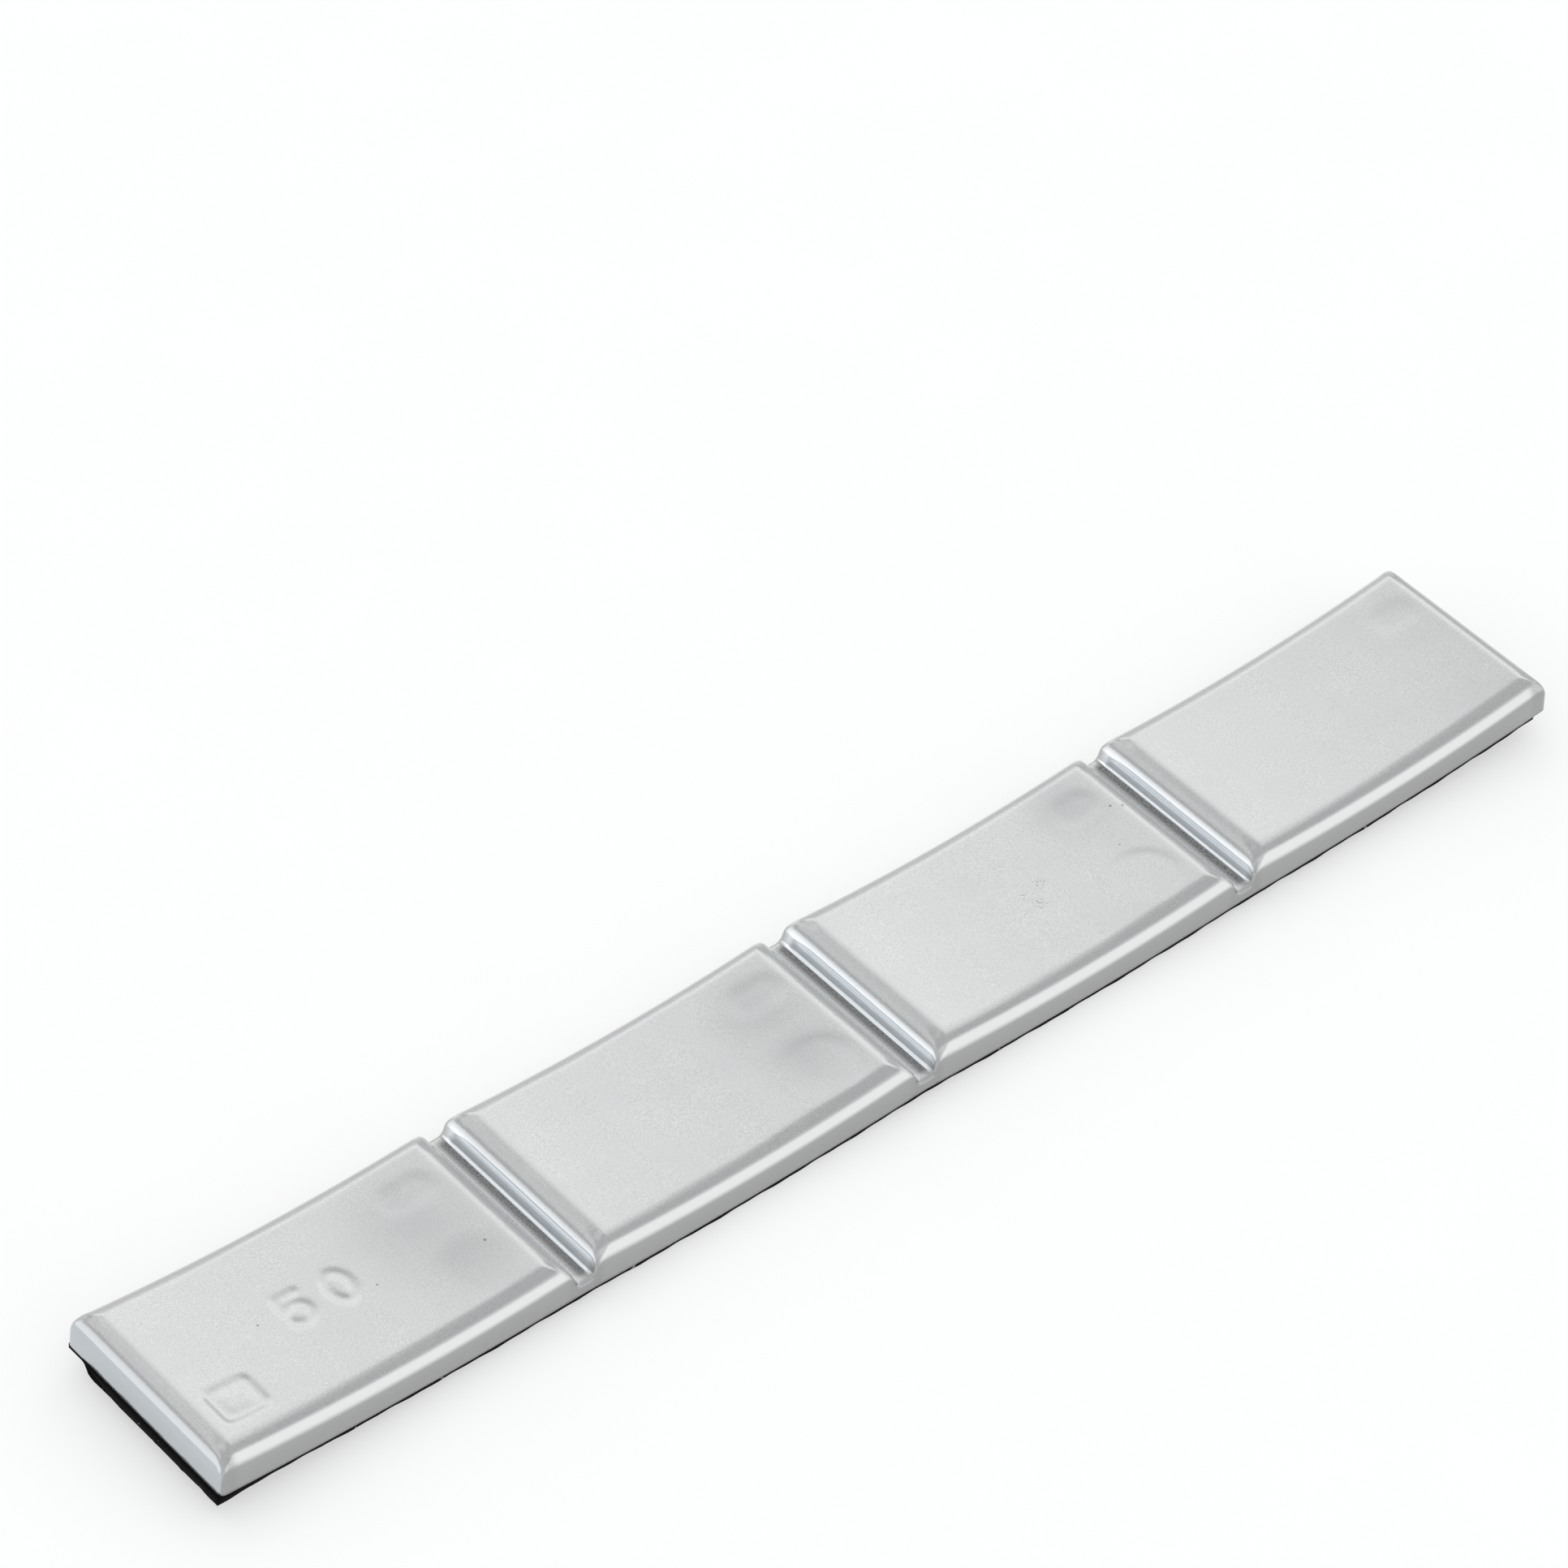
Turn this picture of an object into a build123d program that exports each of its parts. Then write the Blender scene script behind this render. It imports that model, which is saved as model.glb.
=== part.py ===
from build123d import *
import os
from math import asin, cos, degrees, radians, sin, sqrt, tan

# Stick-on wheel balance weight: a cast zinc strip of curved segments, parted by cross grooves,
# with a foam adhesive tape along its underside.
# Millimetres. X runs along the strip, Y across it, Z up. The origin lies under the middle of the
# strip, level with the lowest points of the tape.

# Strip
SEGMENT_COUNT = 4
PITCH = 34.0              # length of a segment along its underside, groove centre to groove centre
WIDTH = 18.8              # across the underside
THICKNESS = 3.05          # at the middle of a segment
TOP_RADIUS = 168.0        # hollow curve of each segment's top
UNDER_RADIUS = 346.0      # crowned curve of each segment's underside
END_LIFT_ANGLE = 2.3      # degrees that the first and last segments are bent up
LAST_END_EXTRA = 0.5      # the last segment runs on by this much at the strip's +X end

# Edges of the segments
SIDE_DRAFT = 2.0          # degrees
END_DRAFT = 1.0           # degrees
LONG_EDGE_RADIUS = 1.9
FIRST_END_RADIUS = 1.9    # top edge of the strip's -X end
LAST_END_RADIUS = 2.5     # top edge of its +X end
EDGE_CREASE = 6.0         # degrees between the top and the rounding of its long edges

# Cross grooves
WEB = 0.95                # metal left under a groove
GROOVE_FLOOR = 1.6        # width of the flat at the bottom
GROOVE_OPENING = 2.85     # width at the top, before the edges are rounded
GROOVE_EDGE_RADIUS = 1.5
GROOVE_ROOT_RADIUS = 0.5

# Tape
TAPE_THICKNESS = 0.5
TAPE_INSET = 0.15         # set back from each long side of the strip
TAPE_OVERHANG = 0.15      # sticks out past the strip's -X end
TAPE_SHORTFALL = 1.3      # stops short of the strip's +X end

# Working margins of the construction
OVERLAP = 0.6             # neighbouring segments run past their common plane before they are trimmed
MARGIN = 2.0              # the rounded section reaches this far past the segment, down and up
FILLET_SHARE = 0.96       # most of a straight wall that its fillets may take up

HALF = PITCH / 2


def under_height(x, depth=0.0):
    """Height, at x from a segment's middle, of the curve that lies depth below its underside."""
    return UNDER_RADIUS - sqrt((UNDER_RADIUS + depth) ** 2 - x**2)


def top_height(x):
    """Height of a segment's top at x from its middle."""
    return THICKNESS + TOP_RADIUS - sqrt(TOP_RADIUS**2 - x**2)


def point(x, z):
    return Vector(x, 0, z)


def under_arc(start, end, depth=0.0):
    """Part of the underside's curve, or of one that lies depth below it."""
    middle = (start + end) / 2
    return ThreePointArc(*[point(x, under_height(x, depth)) for x in (start, middle, end)])


def rounded(face, corners, radius):
    """Fillet a profile at the given corners."""
    return face.fillet_2d(radius, [face.vertices().sort_by_distance(corner)[0] for corner in corners])


def groove_radii():
    """Edge and root radii of a groove, held to what its sloping wall has room for."""
    run = (GROOVE_OPENING - GROOVE_FLOOR) / 2
    rise = top_height(HALF - GROOVE_OPENING / 2) - under_height(HALF) - WEB
    wall = sqrt(run**2 + rise**2)
    setback = tan((radians(90) - asin(run / wall)) / 2)
    share = min(1.0, FILLET_SHARE * wall / (setback * (GROOVE_EDGE_RADIUS + GROOVE_ROOT_RADIUS)))
    return GROOVE_EDGE_RADIUS * share, GROOVE_ROOT_RADIUS * share


def held_to_wall(radius, foot, brow):
    """Radius of an end's top edge, held to what the end's wall has room for."""
    turn = radians(90 - END_DRAFT) + asin(abs(brow.X) / TOP_RADIUS)
    return min(radius, FILLET_SHARE * (brow - foot).length / tan(turn / 2))


def side_corners(is_end, extra=0.0):
    """Corners of the +X half of a segment's side view, from the underside up to the top edge."""
    if is_end:
        foot_x = HALF + extra
        top_x = foot_x - THICKNESS * tan(radians(END_DRAFT))
        return [point(foot_x, under_height(foot_x)), point(top_x, top_height(top_x))]
    floor = under_height(HALF) + WEB
    top_x = HALF - GROOVE_OPENING / 2
    return [
        point(HALF + OVERLAP, under_height(HALF + OVERLAP)),
        point(HALF + OVERLAP, floor),
        point(HALF - GROOVE_FLOOR / 2, floor),
        point(top_x, top_height(top_x)),
    ]


def side_view(first, last):
    """Outline of a segment in the XZ plane, with the edges across the strip rounded."""
    right = side_corners(last, LAST_END_EXTRA)
    left = [point(-corner.X, corner.Z) for corner in side_corners(first)]
    edges = [under_arc(left[0].X, right[0].X)]
    edges += [Line(a, b) for a, b in zip(right, right[1:])]
    edges += [ThreePointArc(right[-1], point(0, THICKNESS), left[-1])]
    edges += [Line(a, b) for a, b in zip(left, left[1:])]
    face = Face(Wire(edges))
    edge_radius, root_radius = groove_radii()
    for corners, is_end, end_radius in ((right, last, LAST_END_RADIUS), (left, first, FIRST_END_RADIUS)):
        if is_end:
            face = rounded(face, corners[-1:], held_to_wall(end_radius, *corners))
        else:
            face = rounded(face, corners[-1:], edge_radius)
            face = rounded(face, corners[-2:-1], root_radius)
    return face


def rounded_side(hand):
    """One side of the bar's section: drafted wall, rounded edge, and a wall up past the top."""
    draft = radians(SIDE_DRAFT)
    centre_z = THICKNESS - LONG_EDGE_RADIUS * cos(radians(EDGE_CREASE))
    centre_y = WIDTH / 2 - centre_z * tan(draft) - LONG_EDGE_RADIUS / cos(draft)

    def on_edge(angle):
        return Vector(
            0,
            hand * (centre_y + LONG_EDGE_RADIUS * cos(angle)),
            centre_z + LONG_EDGE_RADIUS * sin(angle),
        )

    foot = Vector(0, hand * (WIDTH / 2 + MARGIN * tan(draft)), -MARGIN)
    crest = Vector(0, hand * centre_y, THICKNESS + MARGIN)
    upright = radians(90)
    arc = ThreePointArc(on_edge(draft), on_edge((draft + upright) / 2), on_edge(upright))
    return foot, crest, [Line(foot, arc @ 0), arc, Line(arc @ 1, crest)]


def curved_bar():
    """Drafted sides and rounded long edges, swung along the hollow curve of the top."""
    right_foot, right_crest, right = rounded_side(1)
    left_foot, left_crest, left = rounded_side(-1)
    section = Face(Wire(right + left + [Line(right_crest, left_crest), Line(left_foot, right_foot)]))
    axis = Axis((0, 0, THICKNESS + TOP_RADIUS), (0, 1, 0))
    reach = degrees(asin((HALF + LAST_END_EXTRA + OVERLAP) / (TOP_RADIUS - MARGIN)))
    return revolve(section.rotate(axis, -reach), axis, 2 * reach)


def strip_segment(first, last):
    return extrude(side_view(first, last), WIDTH, both=True) & curved_bar()


def tape_segment(first, last):
    start = -HALF - (TAPE_OVERHANG if first else OVERLAP)
    end = HALF + LAST_END_EXTRA - TAPE_SHORTFALL if last else HALF + OVERLAP
    upper = under_arc(start, end)
    lower = under_arc(end, start, TAPE_THICKNESS)
    outline = [upper, Line(upper @ 1, lower @ 0), lower, Line(lower @ 1, upper @ 0)]
    return extrude(Face(Wire(outline)), WIDTH / 2 - TAPE_INSET, both=True)


def chain():
    """Place of each segment, and the planes where neighbours meet, along the bent strip."""
    slopes = [0.0] * SEGMENT_COUNT
    slopes[0] -= END_LIFT_ANGLE
    slopes[-1] += END_LIFT_ANGLE
    joints = [point(0, 0)]
    middles = []
    for slope in slopes:
        along = point(cos(radians(slope)), sin(radians(slope)))
        down = point(sin(radians(slope)), -cos(radians(slope)))
        middles.append(joints[-1] + along * HALF + down * under_height(HALF))
        joints.append(joints[-1] + along * PITCH)
    lowest = min(middle.Z for middle in middles)
    shift = point(-joints[-1].X / 2, TAPE_THICKNESS - lowest)
    places = [Location(middle + shift, (0, -slope, 0)) for middle, slope in zip(middles, slopes)]
    planes = []
    for joint, before, after in zip(joints[1:-1], slopes, slopes[1:]):
        mean = radians((before + after) / 2)
        planes.append(Plane(joint + shift, x_dir=(0, 1, 0), z_dir=(cos(mean), 0, sin(mean))))
    return places, planes


def assemble(make_segment):
    """Make every segment in its place, trim it where it meets its neighbours, and fuse them."""
    places, planes = chain()
    final = SEGMENT_COUNT - 1
    pieces = []
    for index, place in enumerate(places):
        piece = place * make_segment(index == 0, index == final)
        if index > 0:
            piece = split(piece, planes[index - 1], Keep.TOP)
        if index < final:
            piece = split(piece, planes[index], Keep.BOTTOM)
        pieces.append(piece)
    return Part() + pieces


nodes = {
    "weight_strip": assemble(strip_segment),
    "adhesive_tape": assemble(tape_segment),
}

os.makedirs("parts", exist_ok=True)
for name, node in nodes.items():
    export_step(node, f"parts/{name}.step")
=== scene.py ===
from math import cos, pi, radians, sin, sqrt, tan

import bpy
import numpy as np
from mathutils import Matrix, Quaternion, Vector


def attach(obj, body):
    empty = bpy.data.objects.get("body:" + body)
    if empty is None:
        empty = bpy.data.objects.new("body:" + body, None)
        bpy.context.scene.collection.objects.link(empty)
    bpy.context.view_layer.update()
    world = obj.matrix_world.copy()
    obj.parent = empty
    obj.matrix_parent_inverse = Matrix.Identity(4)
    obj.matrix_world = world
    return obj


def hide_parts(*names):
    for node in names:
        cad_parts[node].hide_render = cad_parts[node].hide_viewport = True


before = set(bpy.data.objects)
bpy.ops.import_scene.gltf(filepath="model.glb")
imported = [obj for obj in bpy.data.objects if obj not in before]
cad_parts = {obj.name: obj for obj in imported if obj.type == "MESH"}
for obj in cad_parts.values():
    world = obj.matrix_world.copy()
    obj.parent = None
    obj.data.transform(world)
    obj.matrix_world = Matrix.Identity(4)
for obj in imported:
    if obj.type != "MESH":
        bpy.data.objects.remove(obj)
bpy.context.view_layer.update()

# Lengths below are millimetres, as in the solids. Meshes are turned into metres when they are made.
MILLIMETRE = 0.001

# Strip
SEGMENT_COUNT = 4
PITCH = 34.0
WIDTH = 18.8
THICKNESS = 3.05
TOP_RADIUS = 168.0
UNDER_RADIUS = 346.0
END_LIFT_ANGLE = radians(2.3)
LAST_END_EXTRA = 0.25
SIDE_DRAFT = radians(2.0)
END_DRAFT = radians(1.0)
LONG_EDGE_RADIUS = 1.9
FIRST_END_RADIUS = 1.9
LAST_END_RADIUS = 1.8

# Corners where the long edges meet the ends and the grooves
CORNER_BLEND = 0.6        # softness of the corners
CORNER_FALL = 0.35        # a corner is fully soft once the edge has fallen this far below the top
CORNER_SPREAD = 0.4       # how fast the softening dies away on the top, per millimetre
CORNER_REACH = 1.1 * CORNER_BLEND  # points this near to both surfaces are moved
CORNER_PASSES = 5         # steps in which a point is moved onto the blend
SLOPE_PROBE = 0.01        # half of the length over which the blend's slope is taken
LEAST_SLOPE = 0.25        # smallest squared slope, so that no step is too long

# Cross grooves
WEB = 0.95
GROOVE_FLOOR = 1.6
GROOVE_OPENING = 2.85
GROOVE_EDGE_RADIUS = 2.2  # upper part of a groove's edges
GROOVE_LOWER_RADIUS = 0.8  # lower part of them
GROOVE_EDGE_CHANGE = radians(60.0)  # lean of the surface where one radius gives way to the other
GROOVE_ROOT_RADIUS = 0.48

# Tape
TAPE_THICKNESS = 0.5
TAPE_INSET = 0.15
TAPE_OVERHANG = 0.15
TAPE_SHORTFALL = 1.3
TAPE_SWELL = 0.45         # the foam is thicker by this much at its loose -X end
SWELL_LENGTH = 5.0
SWELL_STOP = 6.0          # across the strip, where the thicker foam begins to thin out
SWELL_STOP_WIDTH = 1.4
CUT_BACK = 0.25           # the -X end of the tape is cut back by this much at its +Y corner
CUT_BACK_START = 6.4      # across the strip, where that begins
CUT_BACK_WIDTH = 1.2

# Ragged edges of the tape, as sine waves: height, radians per millimetre, phase
FRONT_WAVES = ((0.03, 0.9, 0.0), (0.02, 2.3, 1.0))
BACK_WAVES = ((0.03, 1.1, 2.0),)
END_WAVES = ((0.02, 1.7, 0.5), (0.015, 4.1, 0.0), (0.01, 9.3, 1.0))
SWELL_WAVES = ((0.02, 1.3, 0.4), (0.01, 6.1, 0.0))
SWELL_SHARE = 0.97        # mean of the thickening, as a share of TAPE_SWELL

# Fineness of the meshes
NUMBER_STEP = 0.2         # along the segment with the number
PLAIN_STEP = 0.33         # along the other segments
TOP_COLUMNS = 58
EDGE_COLUMNS = 19
WALL_COLUMNS = 6
UNDER_COLUMNS = 6
BROW_POINTS = 24
LOWER_BROW_POINTS = 6
ROOT_POINTS = 9
GROOVE_WALL_POINTS = 4
GROOVE_FLOOR_POINTS = 5
END_WALL_POINTS = 9
ZERO_POINTS = 33          # along the path of the number's 0
BOWL_POINTS = 19          # along the bowl of its 5
TAPE_STEP = 0.4
TAPE_COLUMNS = 48

HALF = PITCH / 2
BROW_Y = WIDTH / 2 - (THICKNESS - LONG_EDGE_RADIUS) * tan(SIDE_DRAFT) - LONG_EDGE_RADIUS / cos(SIDE_DRAFT)


def smooth_step(value):
    """0 below 0, 1 above 1, and a soft step between them."""
    value = np.clip(value, 0, 1)
    return value * value * (3 - 2 * value)


def under_height(x, depth=0.0):
    """Height, at x from a segment's middle, of the curve that lies depth below its underside."""
    return UNDER_RADIUS - np.sqrt((UNDER_RADIUS + depth) ** 2 - x**2)


def top_height(x):
    """Height of a segment's top at x from its middle."""
    return THICKNESS + TOP_RADIUS - np.sqrt(TOP_RADIUS**2 - x**2)


# Side view of a segment

def arc(centre, radius, start, end, count):
    """Points along an arc, between two angles."""
    angles = np.linspace(start, end, count)
    return centre + radius * np.stack([np.cos(angles), np.sin(angles)], axis=1)


def wall_axes(foot, brow):
    """Direction up a wall, and the normal that points into the metal on its -X side."""
    up = (brow - foot) / np.linalg.norm(brow - foot)
    return up, np.array([-up[1], up[0]])


def rounded_brow(foot, brow, radius, lower_radius, change):
    """Points round the top edge of a wall, from the hollow top to the wall.

    Where the surface leans more than the angle called change, the lower radius takes over.
    """
    up, inward = wall_axes(foot, brow)
    hub = np.array([0.0, THICKNESS + TOP_RADIUS])
    shift = (radius - lower_radius) * np.array([sin(change), cos(change)])
    base = foot + lower_radius * inward - shift - hub
    along = base @ up
    rise = -along - sqrt(along**2 - base @ base + (TOP_RADIUS + radius) ** 2)
    centre = hub + base + rise * up
    to_top = hub - centre
    start = np.arctan2(to_top[1], to_top[0])
    end = np.arctan2(-inward[1], -inward[0])
    upper = arc(centre, radius, start, pi / 2 - change, BROW_POINTS)
    lower = arc(centre + shift, lower_radius, pi / 2 - change, end, LOWER_BROW_POINTS)
    return np.concatenate([upper, lower[1:]])


def rounded_root(foot, brow, radius):
    """Points round the foot of a groove's wall, from the wall to the groove's floor."""
    up, inward = wall_axes(foot, brow)
    rise = radius * (1 + inward[1]) / up[1]
    centre = foot + rise * up - radius * inward
    start = np.arctan2(inward[1], inward[0]) % (2 * pi)
    return arc(centre, radius, start, 1.5 * pi, ROOT_POINTS)


def groove_half():
    """Half of a groove, from the hollow top down to the middle of the floor."""
    floor = under_height(HALF) + WEB
    brow_x = HALF - GROOVE_OPENING / 2
    foot = np.array([HALF - GROOVE_FLOOR / 2, floor])
    brow = np.array([brow_x, top_height(brow_x)])
    edge = rounded_brow(foot, brow, GROOVE_EDGE_RADIUS, GROOVE_LOWER_RADIUS, GROOVE_EDGE_CHANGE)
    root = rounded_root(foot, brow, GROOVE_ROOT_RADIUS)
    wall_points = np.linspace(edge[-1], root[0], GROOVE_WALL_POINTS)[1:-1]
    floor_points = np.linspace(root[-1], (HALF, floor), GROOVE_FLOOR_POINTS)[1:]
    return np.concatenate([edge, wall_points, root, floor_points])


def end_half(extra, radius):
    """An end of the strip, from the hollow top down to the underside."""
    foot_x = HALF + extra
    brow_x = foot_x - THICKNESS * tan(END_DRAFT)
    foot = np.array([foot_x, under_height(foot_x)])
    brow = np.array([brow_x, top_height(brow_x)])
    edge = rounded_brow(foot, brow, radius, radius, GROOVE_EDGE_CHANGE)
    wall_points = np.linspace(edge[-1], foot, END_WALL_POINTS)[1:]
    return np.concatenate([edge, wall_points])


def side_view(index):
    """Outline of a segment's top, seen from the side, from its -X end to its +X end."""
    last = SEGMENT_COUNT - 1
    right = end_half(LAST_END_EXTRA, LAST_END_RADIUS) if index == last else groove_half()
    left = end_half(0.0, FIRST_END_RADIUS) if index == 0 else groove_half()
    left = left[::-1] * (-1, 1)
    step = NUMBER_STEP if index == 0 else PLAIN_STEP
    span = right[0, 0] - left[-1, 0]
    x = np.linspace(left[-1, 0], right[0, 0], round(span / step) + 1)[1:-1]
    top = np.stack([x, top_height(x)], axis=1)
    return np.concatenate([left, top, right])


def carried_on(outline, length=2.0):
    """The outline with its first and last runs carried on past its ends."""
    first = outline[0] - outline[1]
    last = outline[-1] - outline[-2]
    before = outline[0] + length * first / np.linalg.norm(first)
    after = outline[-1] + length * last / np.linalg.norm(last)
    return np.concatenate([[before], outline, [after]])


# Cross-sections

def cross_sections(outline):
    """Rings round a segment, one at each point of its side view. Shape: points, columns, xyz."""
    x = outline[:, :1]
    ceiling = outline[:, 1:]
    top = top_height(x)
    under = under_height(x)
    eave = top - LONG_EDGE_RADIUS * (1 - sin(SIDE_DRAFT))
    wall_top = np.minimum(ceiling, eave)
    wall_z = under + (wall_top - under) * np.linspace(0, 1, WALL_COLUMNS)
    wall_y = WIDTH / 2 - (wall_z - top + THICKNESS) * tan(SIDE_DRAFT)
    angles = np.linspace(SIDE_DRAFT, pi / 2, EDGE_COLUMNS)[1:]
    edge_y = np.broadcast_to(BROW_Y + LONG_EDGE_RADIUS * np.cos(angles), (len(x), len(angles)))
    edge_z = top - LONG_EDGE_RADIUS * (1 - np.sin(angles))
    half_y = np.concatenate([wall_y, edge_y], axis=1)
    half_z = np.concatenate([wall_z, edge_z], axis=1)
    flat_y = np.broadcast_to(np.linspace(-BROW_Y, BROW_Y, TOP_COLUMNS)[1:-1], (len(x), TOP_COLUMNS - 2))
    flat_z = np.broadcast_to(top, flat_y.shape)
    y = np.concatenate([-half_y, flat_y, half_y[:, ::-1]], axis=1)
    z = np.minimum(np.concatenate([half_z, flat_z, half_z[:, ::-1]], axis=1), ceiling)
    across = np.linspace(1, -1, UNDER_COLUMNS)[1:-1]
    below_y = half_y[:, :1] * across
    below_z = np.broadcast_to(under, below_y.shape)
    y = np.concatenate([y, below_y], axis=1)
    z = np.concatenate([z, below_z], axis=1)
    return np.stack([np.broadcast_to(x, y.shape), y, z], axis=2)


def side_distance(points, outline):
    """Signed distance from points to a segment's side view, negative in the metal."""
    start = outline[:-1]
    run = outline[1:] - start
    place = points[:, None, [0, 2]] - start
    share = np.clip((place * run).sum(2) / (run * run).sum(1), 0, 1)
    gap = np.linalg.norm(place - share[:, :, None] * run, axis=2).min(axis=1)
    inside = points[:, 2] < np.interp(points[:, 0], outline[:, 0], outline[:, 1])
    return np.where(inside, -gap, gap)


def bar_distance(points):
    """Signed distance from points to the drafted sides and rounded long edges."""
    z = points[:, 2] - top_height(points[:, 0]) + THICKNESS
    y = np.abs(points[:, 1])
    centre_z = THICKNESS - LONG_EDGE_RADIUS
    on_edge = np.hypot(y - BROW_Y, z - centre_z) - LONG_EDGE_RADIUS
    on_wall = (y - WIDTH / 2 + z * tan(SIDE_DRAFT)) * cos(SIDE_DRAFT)
    on_top = z - THICKNESS - CORNER_SPREAD * (BROW_Y - y)
    return np.where(z < centre_z, on_wall, np.where(y > BROW_Y, on_edge, on_top))


def blended_distance(points, outline):
    """Signed distance to both surfaces, with the corner between them rounded."""
    side = side_distance(points, outline)
    bar = bar_distance(points)
    overlap = np.maximum(CORNER_BLEND - np.abs(side - bar), 0) / CORNER_BLEND
    return np.maximum(side, bar) + overlap**2 * CORNER_BLEND / 4


def blend_slope(points, outline):
    """How fast the blended distance grows along x, y and z."""
    changes = [
        blended_distance(points + offset, outline) - blended_distance(points - offset, outline)
        for offset in SLOPE_PROBE * np.eye(3)
    ]
    slope = np.stack(changes, axis=1) / (2 * SLOPE_PROBE)
    slope[:, 0] = np.clip(slope[:, 0], -1, 1)
    return slope


def moved_to_blend(points, outline, level):
    """Points moved onto the rounded corners. Where level is true, a point keeps its height."""
    for _ in range(CORNER_PASSES):
        slope = blend_slope(points, outline)
        slope[level, 2] = 0
        length = np.maximum((slope**2).sum(1), LEAST_SLOPE)
        points = points - (blended_distance(points, outline) / length)[:, None] * slope
    return points


def soften_corners(rings, outline):
    """Round the corners of a segment, the more the further its edge has fallen below the top."""
    outline = carried_on(outline)
    upper = rings.shape[1] - (UNDER_COLUMNS - 2)
    points = rings[:, :upper].reshape(-1, 3).copy()
    near = np.abs(bar_distance(points)) < CORNER_REACH
    near[near] = np.abs(side_distance(points[near], outline)) < CORNER_REACH
    column = np.tile(np.arange(upper), len(rings))[near]
    on_underside = (column == 0) | (column == upper - 1)
    moved = moved_to_blend(points[near], outline, on_underside)
    middle = rings[:, upper // 2]
    fall = np.repeat(top_height(middle[:, 0]) - middle[:, 2], upper)[near]
    share = smooth_step(fall / CORNER_FALL)[:, None]
    points[near] += share * (moved - points[near])
    softened = rings.copy()
    softened[:, :upper] = points.reshape(len(rings), upper, 3)
    return softened


# Marks sunk into the tops of the segments

NUMBER_STROKE = 0.5       # half width of a digit's stroke
STROKE_SPREAD = 1.25      # half widths from a stroke's middle to the outside of its soft walls
NUMBER_DEPTH = 0.085
DIGIT_HALF_WIDTH = 0.95
DIGIT_HALF_HEIGHT = 1.5
FIVE_PLACE = (-3.05, 0.2)
ZERO_PLACE = (1.0, 0.1)

# Blank recesses with soft walls: segment, middle, half size, corner radius, width of the walls, depth.
# The second one is raised, inside the first.
RECESSES = (
    (0, (-12.0, -4.55), (2.0, 1.75), 0.6, 0.55, 0.115),
    (0, (-12.0, -4.55), (1.1, 0.9), 0.4, 0.8, -0.070),
    (0, (10.6, 4.4), (2.3, 1.3), 1.2, 1.5, 0.055),
    (1, (11.1, 4.3), (2.3, 1.4), 1.3, 1.6, 0.055),
    (2, (10.9, 4.5), (2.0, 1.4), 1.3, 1.4, 0.055),
    (3, (12.7, 4.4), (1.9, 1.2), 1.1, 1.6, 0.030),
)

# Round marks of the pins that pushed the casting out: segment, middle, radius, width of the wall,
# depth, and the direction in which the mark is deepest
PIN_MARKS = (
    (0, (10.3, -4.7), 2.6, 2.2, 0.045, (-0.80, 0.60)),
    (1, (10.3, -4.8), 3.2, 1.3, 0.040, (0.90, 0.44)),
    (2, (10.3, -4.7), 2.9, 0.8, 0.045, (0.85, 0.53)),
)

# Waves of the cast top, as products of sines: height, then for each sine the radians per millimetre
# along x and y, and the phase
TOP_WAVES = (
    (0.010, (0.31, 0.21, 0.4), (0.17, -0.38, pi / 2)),
    (0.006, (0.53, -0.44, 1.9)),
    (0.003, (1.13, 0.71, pi / 2), (-0.66, 0.87, 0.7)),
)

# The relief ends this far below the top, and this far past the start of the rounded long edges
RELIEF_DROP = 0.25
RELIEF_DROP_FADE = 0.2
RELIEF_MARGIN = 0.6
RELIEF_MARGIN_FADE = 0.8


def line_distance(x, y, path):
    """Distance from places on the top to a path of short straight runs."""
    best = np.full(x.shape, np.inf)
    for (x0, y0), (x1, y1) in zip(path[:-1], path[1:]):
        run_x = x1 - x0
        run_y = y1 - y0
        share = ((x - x0) * run_x + (y - y0) * run_y) / (run_x**2 + run_y**2)
        share = np.clip(share, 0, 1)
        best = np.minimum(best, np.hypot(x - x0 - share * run_x, y - y0 - share * run_y))
    return best


def digit_zero():
    circle = arc((0.0, 0.0), 1.0, 0.0, 2 * pi, ZERO_POINTS)
    return circle * (DIGIT_HALF_WIDTH, DIGIT_HALF_HEIGHT)


def digit_five():
    bowl_radius = 1.0
    bowl_drop = 0.5
    bowl_start = radians(125.0)
    bowl_end = radians(-145.0)
    flag_tip = (DIGIT_HALF_WIDTH, DIGIT_HALF_HEIGHT)
    stem_top = (-0.75, DIGIT_HALF_HEIGHT)
    stem_foot = (-DIGIT_HALF_WIDTH, 0.15)
    bowl = arc((0.0, -bowl_drop), bowl_radius, bowl_start, bowl_end, BOWL_POINTS)
    return np.concatenate([[flag_tip, stem_top, stem_foot], bowl])


def sunk_line(x, y, path):
    """A digit, sunk along the path of its strokes."""
    return -NUMBER_DEPTH * smooth_step(STROKE_SPREAD - line_distance(x, y, path) / NUMBER_STROKE)


def sunk_box(x, y, centre, half_size, corner, slope_width, depth):
    """A shallow blank recess with rounded corners and soft walls."""
    dx = np.abs(x - centre[0]) - half_size[0] + corner
    dy = np.abs(y - centre[1]) - half_size[1] + corner
    outside = np.hypot(np.maximum(dx, 0), np.maximum(dy, 0))
    gap = outside + np.minimum(np.maximum(dx, dy), 0) - corner
    return -depth * smooth_step(0.5 - gap / slope_width)


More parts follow.
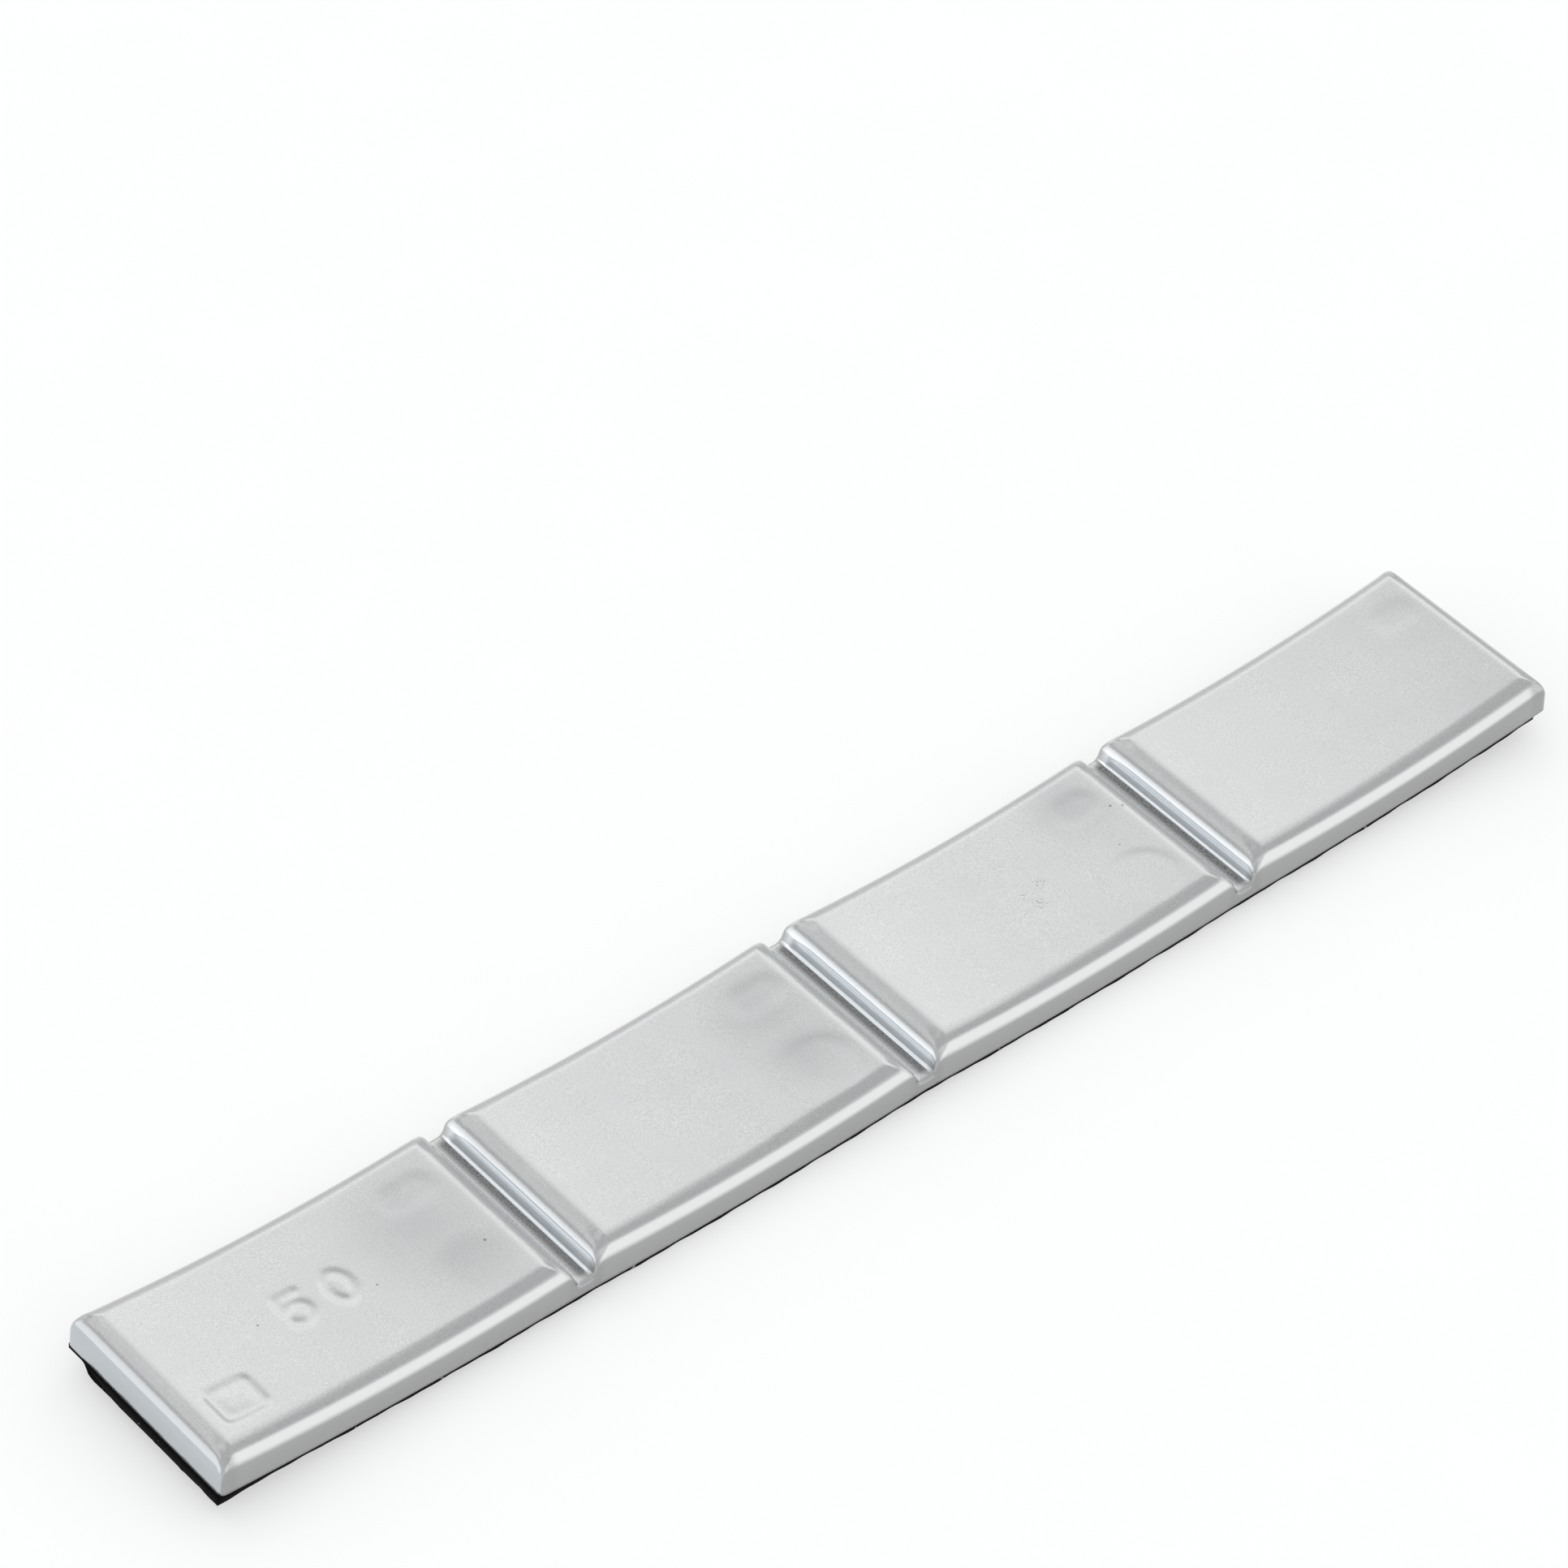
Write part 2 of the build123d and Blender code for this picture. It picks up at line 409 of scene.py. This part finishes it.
def sunk_disc(x, y, centre, radius, slope_width, depth, lean):
    """A round pin mark, deeper towards the direction that it leans in."""
    dx = x - centre[0]
    dy = y - centre[1]
    gap = np.hypot(dx, dy) - radius
    deeper = 0.5 + 0.5 * (dx * lean[0] + dy * lean[1]) / radius
    return -depth * np.clip(deeper, 0, 1) * smooth_step(0.5 - gap / slope_width)


def marks(index, x, y):
    """Height of all the marks on a segment's top, negative where they are sunk."""
    height = np.zeros(x.shape)
    if index == 0:
        height += sunk_line(x, y, digit_five() + FIVE_PLACE)
        height += sunk_line(x, y, digit_zero() + ZERO_PLACE)
    for segment, *shape in RECESSES:
        if segment == index:
            height += sunk_box(x, y, *shape)
    for segment, *shape in PIN_MARKS:
        if segment == index:
            height += sunk_disc(x, y, *shape)
    return height


def unevenness(x, y):
    """Slight waves of the cast top."""
    total = np.zeros(x.shape)
    for height, *sines in TOP_WAVES:
        wave = height
        for along, across, phase in sines:
            wave = wave * np.sin(along * x + across * y + phase)
        total += wave
    return total


def add_relief(rings, index):
    """Sink the marks into the top, fading out towards the rounded edges."""
    x, y, z = rings[..., 0], rings[..., 1], rings[..., 2]
    on_top = smooth_step((z - top_height(x) + RELIEF_DROP) / RELIEF_DROP_FADE)
    inner = smooth_step((BROW_Y + RELIEF_MARGIN - np.abs(y)) / RELIEF_MARGIN_FADE)
    place_x = x + index * PITCH
    rings[..., 2] = z + on_top * inner * (marks(index, x, y) + unevenness(place_x, y))
    return rings


# Chain of segments

def chain():
    """Middle and slope of each segment along the bent strip."""
    slopes = np.zeros(SEGMENT_COUNT)
    slopes[0] -= END_LIFT_ANGLE
    slopes[-1] += END_LIFT_ANGLE
    joint = np.zeros(2)
    middles = []
    for slope in slopes:
        along = np.array([cos(slope), sin(slope)])
        down = np.array([sin(slope), -cos(slope)])
        middles.append(joint + along * HALF + down * under_height(HALF))
        joint = joint + along * PITCH
    middles = np.array(middles)
    middles[:, 0] -= joint[0] / 2
    middles[:, 1] += TAPE_THICKNESS - middles[:, 1].min()
    return middles, slopes


def placed(points, middle, slope):
    """Points of a segment, or of the tape under it, in the strip's frame."""
    x, y, z = points[..., 0], points[..., 1], points[..., 2]
    return np.stack(
        [
            middle[0] + x * cos(slope) - z * sin(slope),
            y,
            middle[1] + x * sin(slope) + z * cos(slope),
        ],
        axis=-1,
    )


def place_on_top(segment, x, y):
    """A place on a segment's top in the strip's frame, in metres."""
    middles, slopes = chain()
    point = np.array([x, y, top_height(x)])
    return placed(point, middles[segment], slopes[segment]) * MILLIMETRE


def joined(parts):
    """Rings of all segments in one row. Where two segments meet, their rings become one."""
    rows = [parts[0]]
    for part in parts[1:]:
        shared = (rows[-1][-1:] + part[:1]) / 2
        rows[-1] = rows[-1][:-1]
        rows += [shared, part[1:]]
    return np.concatenate(rows)


def ring_mesh(name, rings):
    """Closed mesh from rings of points in millimetres, with both ends capped."""
    count, columns = rings.shape[:2]
    index = np.arange(count * columns).reshape(count, columns)
    following = np.roll(index, -1, axis=1)
    quads = np.stack([index[:-1], index[1:], following[1:], following[:-1]], axis=2).reshape(-1, 4)
    mesh = bpy.data.meshes.new(name)
    caps = [index[0].tolist(), index[-1][::-1].tolist()]
    mesh.from_pydata((rings.reshape(-1, 3) * MILLIMETRE).tolist(), [], quads.tolist() + caps)
    mesh.polygons.foreach_set("use_smooth", [True] * len(mesh.polygons))
    mesh.update()
    piece = bpy.data.objects.new(name, mesh)
    bpy.context.collection.objects.link(piece)
    return piece


def make_strip():
    """The cast strip, with its marks sunk into it."""
    parts = []
    for index, (middle, slope) in enumerate(zip(*chain())):
        outline = side_view(index)
        rings = cross_sections(outline)
        rings = soften_corners(rings, outline)
        rings = add_relief(rings, index)
        parts.append(placed(rings, middle, slope))
    return ring_mesh("silver_strip", joined(parts))


def waves(place, shapes):
    """Sum of sine waves along a line. Each: height, radians per millimetre, phase."""
    return sum(height * np.sin(rate * place + phase) for height, rate, phase in shapes)


def torn_end(y):
    """How far the tape's -X end is moved along the strip, at y across it."""
    return waves(y, END_WAVES) + CUT_BACK * smooth_step((y - CUT_BACK_START) / CUT_BACK_WIDTH)


def swelling(x, y):
    """How far the loose foam at the -X end hangs below the rest of the tape."""
    loose = smooth_step(1 - (x + HALF) / SWELL_LENGTH)
    ragged = SWELL_SHARE + waves(y, SWELL_WAVES)
    return TAPE_SWELL * loose * ragged * (1 - smooth_step((y - SWELL_STOP) / SWELL_STOP_WIDTH))


def tape_rings(index):
    """Rings round the tape under a segment."""
    first = index == 0
    last = index == SEGMENT_COUNT - 1
    start = -HALF - (TAPE_OVERHANG if first else 0)
    end = HALF + (LAST_END_EXTRA - TAPE_SHORTFALL if last else 0)
    x = np.linspace(start, end, round((end - start) / TAPE_STEP))
    edge = WIDTH / 2 - TAPE_INSET
    place = x + index * PITCH
    front = edge + waves(place, FRONT_WAVES)
    back = edge + waves(place, BACK_WAVES)
    across = np.linspace(-1, 1, TAPE_COLUMNS)
    y = np.where(across < 0, front[:, None] * across, back[:, None] * across)
    upper = np.broadcast_to(under_height(x)[:, None], y.shape)
    lower = np.broadcast_to(under_height(x, TAPE_THICKNESS)[:, None], y.shape)
    if first:
        lower = lower - swelling(x[:, None], y)
    ring_y = np.concatenate([y, y[:, ::-1]], axis=1)
    ring_z = np.concatenate([upper, lower[:, ::-1]], axis=1)
    ring_x = np.broadcast_to(x[:, None], ring_y.shape).copy()
    if first:
        ring_x[0] += torn_end(ring_y[0])
    return np.stack([ring_x, ring_y, ring_z], axis=2)


def make_tape():
    """Foam strip under the weight, with hand-cut, slightly ragged edges."""
    places = enumerate(zip(*chain()))
    parts = [placed(tape_rings(index), middle, slope) for index, (middle, slope) in places]
    return ring_mesh("foam_tape", joined(parts))


# Materials

NOISE_LOW = 0.3           # a noise mostly stays between these two values
NOISE_HIGH = 0.7


class Nodes:
    """Short ways to add and link the nodes of one material, or of the world."""

    def __init__(self, owner):
        owner.use_nodes = True
        self.tree = owner.node_tree

    def add(self, kind, **values):
        node = self.tree.nodes.new(kind)
        for key, value in values.items():
            if key in node.inputs:
                node.inputs[key].default_value = value
            else:
                setattr(node, key, value)
        return node

    def link(self, output, target):
        self.tree.links.new(output, target)

    def axes(self, coordinates):
        """X, Y and Z of the named texture coordinates."""
        split = self.add("ShaderNodeSeparateXYZ")
        self.link(self.add("ShaderNodeTexCoord").outputs[coordinates], split.inputs["Vector"])
        return [split.outputs[axis] for axis in "XYZ"]

    def noise(self, scale, detail, stretch=(1.0, 1.0, 1.0)):
        coordinates = self.add("ShaderNodeTexCoord")
        mapping = self.add("ShaderNodeMapping", Scale=stretch)
        node = self.add("ShaderNodeTexNoise", Scale=scale, Detail=detail)
        self.link(coordinates.outputs["Object"], mapping.inputs["Vector"])
        self.link(mapping.outputs["Vector"], node.inputs["Vector"])
        return node.outputs["Fac"]

    def ramp(self, source, low, high, start=NOISE_LOW, end=NOISE_HIGH, smooth=False):
        """A value that goes from low to high while the source goes from start to end."""
        node = self.add("ShaderNodeMapRange")
        node.interpolation_type = "SMOOTHSTEP" if smooth else "LINEAR"
        node.inputs["From Min"].default_value = start
        node.inputs["From Max"].default_value = end
        node.inputs["To Min"].default_value = low
        node.inputs["To Max"].default_value = high
        self.link(source, node.inputs["Value"])
        return node.outputs["Result"]

    def rise(self, source, start, full, smooth=False):
        """0 up to the first length in millimetres, and 1 from the second."""
        return self.ramp(source, 0.0, 1.0, start * MILLIMETRE, full * MILLIMETRE, smooth)

    def fade(self, source, start, gone, smooth=False):
        """1 up to the first length in millimetres, and 0 from the second."""
        return self.ramp(source, 1.0, 0.0, start * MILLIMETRE, gone * MILLIMETRE, smooth)

    def band(self, source, start, full, fading, gone):
        """1 between two lengths in millimetres, with soft sides."""
        return self.math("MULTIPLY", self.rise(source, start, full), self.fade(source, fading, gone))

    def math(self, operation, *values):
        node = self.add("ShaderNodeMath", operation=operation)
        for socket, value in zip(node.inputs, values):
            if isinstance(value, (int, float)):
                socket.default_value = value
            else:
                self.link(value, socket)
        return node.outputs["Value"]

    def mix(self, factor, first, second):
        """Colour between two others, each a tuple or an output."""
        node = self.add("ShaderNodeMix", data_type="RGBA")
        self.link(factor, node.inputs["Factor"])
        for socket, value in zip((node.inputs[6], node.inputs[7]), (first, second)):
            if isinstance(value, tuple):
                socket.default_value = (*value, 1.0)
            else:
                self.link(value, socket)
        return node.outputs[2]

    def bump(self, height, distance, normal=None):
        node = self.add("ShaderNodeBump", Distance=distance)
        self.link(height, node.inputs["Height"])
        if normal is not None:
            self.link(normal, node.inputs["Normal"])
        return node.outputs["Normal"]

    def blots(self, places, core):
        """Soft round patches on the strip's top. Each: segment, x, y, radius.

        A patch is 1 out to the share of its radius called core, and 0 at its rim.
        """
        coordinates = self.add("ShaderNodeTexCoord")
        total = None
        for segment, x, y, radius in places:
            gap = self.add("ShaderNodeVectorMath", operation="DISTANCE")
            self.link(coordinates.outputs["Object"], gap.inputs[0])
            gap.inputs[1].default_value = place_on_top(segment, x, y)
            patch = self.fade(gap.outputs["Value"], core * radius, radius, smooth=True)
            total = patch if total is None else self.math("MAXIMUM", total, patch)
        return total


def new_material(name):
    """A new material, the means to add nodes to it, and its main shader."""
    material = bpy.data.materials.new(name)
    nodes = Nodes(material)
    return material, nodes, nodes.tree.nodes["Principled BSDF"]


# Silver coat
SILVER_METALLIC = 0.65
SILVER_LIGHT = (0.53, 0.53, 0.525)
SILVER_DARK = (0.40, 0.40, 0.40)
SILVER_CLOUD = (0.445, 0.447, 0.45)
# Painted shade: greyer patches on the tops
SHADE_PATCH_COLOUR = (0.30, 0.31, 0.31)
# Painted shade on the grooves' floors
GROOVE_FLOOR_SHADE = (0.10, 0.10, 0.10)
# Painted light on the grooves' walls, and a painted highlight low on their top edges
GROOVE_WALL_LIGHT = (0.78, 0.81, 0.84)
# Painted highlight along the roots of the grooves' walls
GROOVE_ROOT_HIGHLIGHT = (0.97, 0.97, 0.97)
# Painted shade on the long sides
LONG_SIDE_SHADE_COLOUR = (0.34, 0.34, 0.34)
# Painted bluish reflection on the -X end
END_REFLECTION_COLOUR = (0.51, 0.54, 0.56)
# Painted highlight along the long top edges, away from the grooves
EDGE_HIGHLIGHT_COLOUR = (0.66, 0.66, 0.655)
SPECK_COLOUR = (0.10, 0.10, 0.10)

# How strongly these colours cover the paint
CLOUD_STRENGTH = 0.5
SHADE_PATCH_STRENGTH = 0.45
LONG_SIDE_SHADE_STRENGTH = 0.85
SCUFF_STRENGTH = 0.6
DIRT_STRENGTH = 0.75
LEAST_STREAK = 0.45       # the streaks in the painted shade on the groove floors go from this share to all of its colour

# Spans of a noise over which streaks and scratches come in
STREAK_SPAN = (0.4, 0.6)
SCRATCH_SPAN = (0.54, 0.62)

# Roughness, and heights of the bumps in metres
SATIN_ROUGHNESS = (0.12, 0.17)
GROOVE_ROUGHNESS = 0.3    # added on the grooves' floors
PEEL_HEIGHT = 0.000003
FLAKE_HEIGHT = 0.0000005

# Noise scales, per metre
FLAKE_SCALE = 8000.0
CLOUD_SCALE = 220.0
STREAK_SCALE = 15000.0
STREAK_STRETCH = (1.0, 0.6, 1.0)
SCRATCH_SCALE = 4200.0
PEEL_SCALE = 1900.0

# Specks of dirt on the tops: segment, x, y, radius
SPECKS = (
    (0, 12.3, -2.9, 0.16),
    (0, -6.3, 0.45, 0.13),
    (0, 3.3, -1.45, 0.12),
    (2, 13.3, 2.9, 0.16),
    (2, 14.1, 2.3, 0.15),
    (2, 11.0, -0.75, 0.10),
)

# Scuffed places on the third segment, in the same form
SCUFFS = (
    (2, 1.4, -0.3, 0.8),
    (2, 1.7, -1.5, 0.8),
    (2, 3.2, 0.1, 0.8),
    (2, 0.2, -1.6, 0.5),
)

# Patches of painted shade on the tops, in the same form
SHADE_PATCHES = (
    (0, 9.0, 2.0, 8.0),
    (0, 10.0, -3.0, 6.0),
    (1, 10.0, 3.0, 6.0),
    (1, 10.0, -2.5, 5.0),
    (2, 10.5, 5.0, 5.0),
)

SPECK_CORE = 0.4          # specks and scuffs are dark out to this share of their radius
SHADE_PATCH_CORE = 0.0         # the patches of painted shade fade from their middle

# Grooves, where shade and light are painted: lengths from a groove's middle, and heights above the floor
# that the strip lies on. A band begins, is full, begins to fade and is gone.
FLOOR_BAND = (-0.45, 0.25, 0.62, 0.70)
FLOOR_HEIGHT = (1.98, 2.06)
WALL_BAND = (0.70, 0.80, 1.15, 1.70)
WALL_HEIGHT = (1.9, 2.0, 3.2, 3.7)
ROOT_BAND = (0.67, 0.71, 0.76, 0.80)
ROOT_HEIGHT = (1.8, 1.9, 2.15, 2.25)
GROOVES_STOP_ALONG = (50.0, 51.0)
GROOVES_STOP_ACROSS = (8.3, 9.0)

# Sides and ends, where highlights, a reflection and shade are painted: distances from the middle of the
# strip
LONG_SIDE_START = (9.14, 9.27)
EDGE_HIGHLIGHT_START = (8.45, 8.75)
EDGE_HIGHLIGHT_GROOVE_GAP = (1.2, 2.0)  # lengths from a groove's middle where the painted edge highlights begin
END_STOP = (-67.7, -67.0)


def from_groove(nodes, along):
    """Distance along the strip from the middle of the nearest groove, or from an end of the strip."""
    half = HALF * MILLIMETRE
    return nodes.math("WRAP", along, half, -half)


def groove_masks(nodes):
    """Masks of the painted shade on the grooves' floors, of the painted light on their walls and of the
    painted highlight on the roots between.
    """
    along, across, height = nodes.axes("Object")
    offset = from_groove(nodes, along)
    aside = nodes.math("ABSOLUTE", offset)
    not_ends = nodes.fade(nodes.math("ABSOLUTE", along), *GROOVES_STOP_ALONG)
    not_sides = nodes.fade(nodes.math("ABSOLUTE", across), *GROOVES_STOP_ACROSS)
    inner = nodes.math("MULTIPLY", not_ends, not_sides)
    floor = nodes.math("MULTIPLY", nodes.band(offset, *FLOOR_BAND), nodes.fade(height, *FLOOR_HEIGHT))
    wall = nodes.math("MULTIPLY", nodes.band(aside, *WALL_BAND), nodes.band(height, *WALL_HEIGHT))
    root = nodes.math("MULTIPLY", nodes.band(aside, *ROOT_BAND), nodes.band(height, *ROOT_HEIGHT))
    return [nodes.math("MULTIPLY", mask, inner) for mask in (floor, wall, root)]


def paint_colour(nodes, flake):
    """Silver paint with fine flake, faint clouds and greyer patches of painted shade."""
    cloud = nodes.noise(CLOUD_SCALE, detail=3.0)
    colour = nodes.mix(nodes.ramp(flake, 0.0, 1.0), SILVER_DARK, SILVER_LIGHT)
    colour = nodes.mix(nodes.ramp(cloud, 0.0, CLOUD_STRENGTH), colour, SILVER_CLOUD)
    # Painted shade on the tops, in greyer patches
    shade_patches = nodes.math("MULTIPLY", nodes.blots(SHADE_PATCHES, SHADE_PATCH_CORE), SHADE_PATCH_STRENGTH)
    return nodes.mix(shade_patches, colour, SHADE_PATCH_COLOUR)


def side_colour(nodes, colour):
    """The paint with painted highlights along the long top edges, a painted bluish reflection on the -X
    end and painted shade on the long sides.
    """
    along, across, _ = nodes.axes("Object")
    aside = nodes.math("ABSOLUTE", from_groove(nodes, along))
    across = nodes.math("ABSOLUTE", across)
    on_edge = nodes.rise(across, *EDGE_HIGHLIGHT_START, smooth=True)
    # Painted highlight along the long top edges
    edge_highlight = nodes.math("MULTIPLY", on_edge, nodes.rise(aside, *EDGE_HIGHLIGHT_GROOVE_GAP, smooth=True))
    colour = nodes.mix(edge_highlight, colour, EDGE_HIGHLIGHT_COLOUR)
    colour = nodes.mix(nodes.fade(along, *END_STOP, smooth=True), colour, END_REFLECTION_COLOUR)
    on_side = nodes.rise(across, *LONG_SIDE_START, smooth=True)
    return nodes.mix(nodes.math("MULTIPLY", on_side, LONG_SIDE_SHADE_STRENGTH), colour, LONG_SIDE_SHADE_COLOUR)


def groove_colour(nodes, colour, floor, wall, root):
    """The paint with streaked painted shade on the groove floors, painted light on the walls and a
    painted highlight on the roots.
    """
    grain = nodes.noise(STREAK_SCALE, detail=3.0, stretch=STREAK_STRETCH)
    streaks = nodes.ramp(grain, LEAST_STREAK, 1.0, *STREAK_SPAN)
    colour = nodes.mix(nodes.math("MULTIPLY", floor, streaks), colour, GROOVE_FLOOR_SHADE)
    colour = nodes.mix(wall, colour, GROOVE_WALL_LIGHT)
    return nodes.mix(root, colour, GROOVE_ROOT_HIGHLIGHT)


def dirty_colour(nodes, colour):
    """The paint with specks of dirt and a scuffed place."""
    grain = nodes.noise(SCRATCH_SCALE, detail=2.0)
    scratches = nodes.ramp(grain, 0.0, SCUFF_STRENGTH, *SCRATCH_SPAN)
    scuffs = nodes.math("MULTIPLY", nodes.blots(SCUFFS, SPECK_CORE), scratches)
    dirt = nodes.math("MAXIMUM", nodes.blots(SPECKS, SPECK_CORE), scuffs)
    return nodes.mix(nodes.math("MULTIPLY", dirt, DIRT_STRENGTH), colour, SPECK_COLOUR)


def silver_material():
    """Satin silver paint with fine flake, orange peel, the wear of the casting, and painted shade, light
    and highlights on the tops, grooves, edges, sides and ends.
    """
    material, nodes, shader = new_material("silver_coat")
    shader.inputs["Metallic"].default_value = SILVER_METALLIC
    flake = nodes.noise(FLAKE_SCALE, detail=2.0)
    floor, wall, root = groove_masks(nodes)
    colour = side_colour(nodes, paint_colour(nodes, flake))
    colour = groove_colour(nodes, colour, floor, wall, root)
    nodes.link(dirty_colour(nodes, colour), shader.inputs["Base Color"])
    satin = nodes.ramp(flake, *SATIN_ROUGHNESS)
    rougher = nodes.math("MULTIPLY", floor, GROOVE_ROUGHNESS)
    nodes.link(nodes.math("ADD", satin, rougher), shader.inputs["Roughness"])
    peel = nodes.bump(nodes.noise(PEEL_SCALE, detail=1.0), PEEL_HEIGHT)
    nodes.link(nodes.bump(flake, FLAKE_HEIGHT, normal=peel), shader.inputs["Normal"])
    return material


# Foam
FOAM_DARK = (0.002, 0.002, 0.002)
FOAM_LIGHT = (0.006, 0.006, 0.006)
LINT_COLOUR = (0.5, 0.5, 0.5)
LINT_STRENGTH = 0.6
LINT_SCALE = 2200.0
LINT_SPAN = (0.79, 0.84)
FOAM_SPECULAR = 0.05
FOAM_ROUGHNESS = (0.65, 0.9)
CELL_SCALE = 6000.0
CELL_HEIGHT = 0.00006


def foam_material():
    """Black closed-cell foam with a fine pitted surface and some pale lint."""
    material, nodes, shader = new_material("foam_tape")
    shader.inputs["Specular IOR Level"].default_value = FOAM_SPECULAR
    cells = nodes.noise(CELL_SCALE, detail=3.0)
    lint = nodes.ramp(nodes.noise(LINT_SCALE, detail=0.0), 0.0, LINT_STRENGTH, *LINT_SPAN)
    black = nodes.mix(cells, FOAM_DARK, FOAM_LIGHT)
    nodes.link(nodes.mix(lint, black, LINT_COLOUR), shader.inputs["Base Color"])
    nodes.link(nodes.ramp(cells, *FOAM_ROUGHNESS), shader.inputs["Roughness"])
    nodes.link(nodes.bump(cells, CELL_HEIGHT), shader.inputs["Normal"])
    return material


# White floor
WHITE_SHARE = 0.5         # how much of it is plain white to the camera and in reflections
WHITE_FLOOR_DARK = (0.94, 0.935, 0.93)
WHITE_FLOOR_LIGHT = (0.96, 0.955, 0.95)
WHITE_FLOOR_ROUGHNESS = 0.9
WHITE_FLOOR_SCALE = 60.0


def floor_material():
    """Pale floor that keeps the object's shadow, and is otherwise white."""
    material, nodes, shader = new_material("white_floor")
    grain = nodes.noise(WHITE_FLOOR_SCALE, detail=2.0)
    nodes.link(nodes.mix(grain, WHITE_FLOOR_DARK, WHITE_FLOOR_LIGHT), shader.inputs["Base Color"])
    shader.inputs["Roughness"].default_value = WHITE_FLOOR_ROUGHNESS
    shader.inputs["Specular IOR Level"].default_value = 0.0
    white = nodes.add("ShaderNodeEmission", Strength=1.0)
    path = nodes.add("ShaderNodeLightPath").outputs
    seen = nodes.math("ADD", path["Is Camera Ray"], path["Is Glossy Ray"])
    seen = nodes.math("MINIMUM", nodes.math("ADD", seen, path["Is Transmission Ray"]), 1.0)
    mixed = nodes.add("ShaderNodeMixShader")
    nodes.link(nodes.math("MULTIPLY", seen, WHITE_SHARE), mixed.inputs["Fac"])
    nodes.link(shader.outputs["BSDF"], mixed.inputs[1])
    nodes.link(white.outputs["Emission"], mixed.inputs[2])
    nodes.link(mixed.outputs["Shader"], nodes.tree.nodes["Material Output"].inputs["Surface"])
    return material


# Stage, in metres and degrees. The lens and the sensor are in millimetres.

FLOOR_SIZE = 6.0
CAMERA_PLACE = (-0.240512, -0.247687, 0.355270)
CAMERA_TARGET = (0.014054, 0.024005, 0.0)
CAMERA_ROLL = 3.793
CAMERA_NEAR = 0.01
LENS = 145.232
SENSOR = 36.0
SKY_COLOUR = (0.965, 0.99, 1.0)
SKY_STRENGTH = 0.8

# Soft glows of the studio in the sky. Each: azimuth, half width and softness of its sides, then the
# elevations where it begins, is full, begins to fade and is gone, and its brightness
GLOWS = (
    (44.0, 45.0, 15.0, (8.0, 38.0, 45.0, 66.0), 1.08),
    (40.0, 40.0, 15.0, (20.0, 30.0, 34.0, 46.0), 0.35),
    (72.0, 25.0, 15.0, (-10.0, 0.0, 14.0, 30.0), 0.30),
    (-58.0, 45.0, 15.0, (-4.0, 3.0, 33.0, 42.0), 0.70),
    (149.0, 40.0, 15.0, (-6.0, 2.0, 26.0, 34.0), 1.05),
    (116.0, 35.0, 12.0, (38.0, 46.0, 56.0, 66.0), 0.55),
)


def make_floor():
    bpy.ops.mesh.primitive_plane_add(size=FLOOR_SIZE)
    floor = bpy.context.object
    floor.name = "floor"
    floor.data.materials.append(floor_material())


def make_camera():
    data = bpy.data.cameras.new("camera")
    data.lens = LENS
    data.sensor_width = SENSOR
    data.sensor_fit = "HORIZONTAL"
    data.clip_start = CAMERA_NEAR
    camera = bpy.data.objects.new("camera", data)
    bpy.context.collection.objects.link(camera)
    direction = Vector(CAMERA_TARGET) - Vector(CAMERA_PLACE)
    level = direction.to_track_quat("-Z", "Y")
    camera.location = CAMERA_PLACE
    camera.rotation_mode = "QUATERNION"
    camera.rotation_quaternion = level @ Quaternion((0, 0, 1), radians(CAMERA_ROLL))
    bpy.context.scene.camera = camera


def glow_strength(nodes):
    """Brightness of all the glows together, in the direction that is looked at."""
    x, y, z = nodes.axes("Generated")
    azimuth = nodes.math("ARCTAN2", y, x)
    elevation = nodes.math("ARCSINE", z)
    total = 0.0
    for middle, half_width, softness, heights, brightness in GLOWS:
        begin, full, fading, gone = (radians(height) for height in heights)
        inner = radians(half_width - softness)
        outer = radians(half_width + softness)
        away = nodes.math("WRAP", nodes.math("SUBTRACT", azimuth, radians(middle)), pi, -pi)
        sides = nodes.ramp(nodes.math("ABSOLUTE", away), 1.0, 0.0, inner, outer, smooth=True)
        rise = nodes.ramp(elevation, 0.0, brightness, begin, full, smooth=True)
        fall = nodes.ramp(elevation, 1.0, 0.0, fading, gone, smooth=True)
        lit = nodes.math("MULTIPLY", nodes.math("MULTIPLY", rise, fall), sides)
        total = nodes.math("ADD", lit, total)
    return total


def make_sky():
    """Even, slightly cool light from all round, with soft glows in it."""
    world = bpy.data.worlds.new("studio")
    bpy.context.scene.world = world
    nodes = Nodes(world)
    even = nodes.tree.nodes["Background"]
    even.inputs["Color"].default_value = (*SKY_COLOUR, 1.0)
    even.inputs["Strength"].default_value = SKY_STRENGTH
    glowing = nodes.add("ShaderNodeBackground")
    nodes.link(glow_strength(nodes), glowing.inputs["Strength"])
    both = nodes.add("ShaderNodeAddShader")
    nodes.link(even.outputs["Background"], both.inputs[0])
    nodes.link(glowing.outputs["Background"], both.inputs[1])
    nodes.link(both.outputs["Shader"], nodes.tree.nodes["World Output"].inputs["Surface"])


strip = make_strip()
strip.data.materials.append(silver_material())
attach(strip, "root")
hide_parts("weight_strip")

tape = make_tape()
tape.data.materials.append(foam_material())
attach(tape, "root")
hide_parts("adhesive_tape")

make_floor()
make_camera()
make_sky()
bpy.context.scene.view_settings.view_transform = "Standard"
